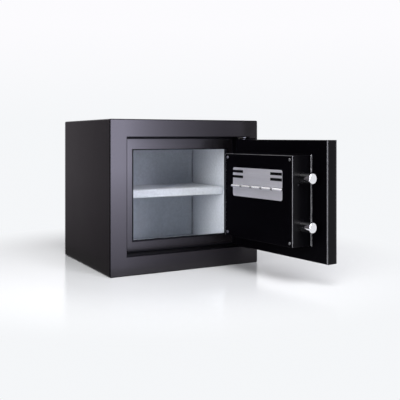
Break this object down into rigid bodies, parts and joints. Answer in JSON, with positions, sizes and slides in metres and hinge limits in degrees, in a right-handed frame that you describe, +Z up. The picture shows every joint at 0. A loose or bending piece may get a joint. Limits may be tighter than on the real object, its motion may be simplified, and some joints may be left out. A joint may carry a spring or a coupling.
{
  "type": "compact fire safe",
  "caption": "Compact upright safe with a rebated frame, lined hold and shelf, and a swung-open stepped door with round bolts, keypad lock, turn knob and battery flap.",
  "frame": {"origin": "centre of the body's flat bottom face", "axes": "+Z up, -Y out of the body's front, +X to the right seen from the front, where the door is hinged"},
  "size_m": [0.3389, 0.5404, 0.3],
  "materials": {
    "body_enamel": "semi-gloss dark charcoal enamel",
    "door_black": "satin black paint",
    "black_rubber": "matte",
    "grey_carpet": "short pile carpet",
    "zinc_steel": "zinc plated",
    "stainless": "satin stainless",
    "bright_chrome": "bright",
    "insulation": "cast mineral filling",
    "black_plastic": "fine grain",
    "key_plastic": "satin",
    "cell_wrap": "shrink wrap",
    "board": "solder mask"
  },
  "bodies": {
    "safe_body": {"outer_shell": "body_enamel", "back_plate": "body_enamel", "front_frame": "body_enamel", "mouth_plate": "body_enamel", "mouth_trim": "black_rubber", "rebate_seal": "black_rubber", "inner_liner": "zinc_steel", "insulation": "insulation", "lining_back": "grey_carpet", "lining_left": "grey_carpet", "lining_right": "grey_carpet", "lining_top": "grey_carpet", "lining_floor": "grey_carpet", "shelf": "grey_carpet", "shelf_rail_left": "zinc_steel", "shelf_rail_right": "zinc_steel", "hinge_bracket_upper": "zinc_steel", "hinge_bracket_lower": "zinc_steel", "hinge_pin_upper": "zinc_steel", "hinge_pin_lower": "zinc_steel"},
    "door": {"hinge_ear_upper": "zinc_steel", "hinge_ear_lower": "zinc_steel", "door_face": "body_enamel", "door_pan": "door_black", "door_insulation": "insulation", "lock_box": "door_black", "box_cover": "door_black", "box_rivet": "zinc_steel", "cover_screw_1": "zinc_steel", "cover_screw_2": "zinc_steel", "cover_screw_3": "zinc_steel", "cover_screw_4": "zinc_steel", "plate_lower_leaf": "stainless", "flap_pin": "bright_chrome", "battery_tray": "black_plastic", "battery_1": "cell_wrap", "battery_2": "cell_wrap", "battery_3": "cell_wrap", "battery_4": "cell_wrap", "lock_chassis": "zinc_steel", "solenoid": "black_plastic", "circuit_board": "board", "keypad_housing": "black_plastic"},
    "flap": {"battery_flap": "stainless"},
    "bolt_work": {"bolt_upper": "bright_chrome", "bolt_lower": "bright_chrome", "bolt_carrier": "zinc_steel"},
    "turn_knob": {"knob": "bright_chrome", "spindle_cam": "zinc_steel"},
    "plunger": {"solenoid_plunger": "zinc_steel"},
    "key_1": {"key_1": "key_plastic"},
    "key_2": {"key_2": "key_plastic"},
    "key_3": {"key_3": "key_plastic"},
    "key_4": {"key_4": "key_plastic"},
    "key_5": {"key_5": "key_plastic"},
    "key_6": {"key_6": "key_plastic"},
    "key_7": {"key_7": "key_plastic"},
    "key_8": {"key_8": "key_plastic"},
    "key_9": {"key_9": "key_plastic"},
    "key_0": {"key_0": "key_plastic"}
  },
  "joints": [
    {"name": "door_hinge", "type": "hinge", "parent": "safe_body", "child": "door", "pos_m": [0.13875, -0.13175, 0.15], "axis": [0, 0, 1], "range_deg": [-96.3, 23.7]},
    {"name": "knob_turn", "type": "hinge", "parent": "door", "child": "turn_knob", "pos_m": [0.14702, -0.27044, 0.14937], "axis": [-0.994, -0.1097, 0], "range_deg": [0, 90]},
    {"name": "bolt_slide", "type": "slide", "parent": "door", "child": "bolt_work", "axis": [-0.1097, 0.994, 0], "range_m": [0, 0.0255]},
    {"name": "flap_hinge", "type": "hinge", "parent": "door", "child": "flap", "pos_m": [0.07439, -0.27279, 0.1705], "axis": [0.1097, -0.994, 0], "range_deg": [0, 170]},
    {"name": "plunger_slide", "type": "slide", "parent": "door", "child": "plunger", "axis": [0, 0, 1], "range_m": [0, 0.006]},
    {"name": "press_key_1", "type": "slide", "parent": "door", "child": "key_1", "axis": [-0.994, -0.1097, 0], "range_m": [0, 0.0012], "stiffness_N_per_m": 400},
    {"name": "press_key_2", "type": "slide", "parent": "door", "child": "key_2", "axis": [-0.994, -0.1097, 0], "range_m": [0, 0.0012], "stiffness_N_per_m": 400},
    {"name": "press_key_3", "type": "slide", "parent": "door", "child": "key_3", "axis": [-0.994, -0.1097, 0], "range_m": [0, 0.0012], "stiffness_N_per_m": 400},
    {"name": "press_key_4", "type": "slide", "parent": "door", "child": "key_4", "axis": [-0.994, -0.1097, 0], "range_m": [0, 0.0012], "stiffness_N_per_m": 400},
    {"name": "press_key_5", "type": "slide", "parent": "door", "child": "key_5", "axis": [-0.994, -0.1097, 0], "range_m": [0, 0.0012], "stiffness_N_per_m": 400},
    {"name": "press_key_6", "type": "slide", "parent": "door", "child": "key_6", "axis": [-0.994, -0.1097, 0], "range_m": [0, 0.0012], "stiffness_N_per_m": 400},
    {"name": "press_key_7", "type": "slide", "parent": "door", "child": "key_7", "axis": [-0.994, -0.1097, 0], "range_m": [0, 0.0012], "stiffness_N_per_m": 400},
    {"name": "press_key_8", "type": "slide", "parent": "door", "child": "key_8", "axis": [-0.994, -0.1097, 0], "range_m": [0, 0.0012], "stiffness_N_per_m": 400},
    {"name": "press_key_9", "type": "slide", "parent": "door", "child": "key_9", "axis": [-0.994, -0.1097, 0], "range_m": [0, 0.0012], "stiffness_N_per_m": 400},
    {"name": "press_key_0", "type": "slide", "parent": "door", "child": "key_0", "axis": [-0.994, -0.1097, 0], "range_m": [0, 0.0012], "stiffness_N_per_m": 400}
  ],
  "couplings": [
    {"joint": "bolt_slide", "follows": "knob_turn", "m_per_rad": 0.016234}
  ]
}
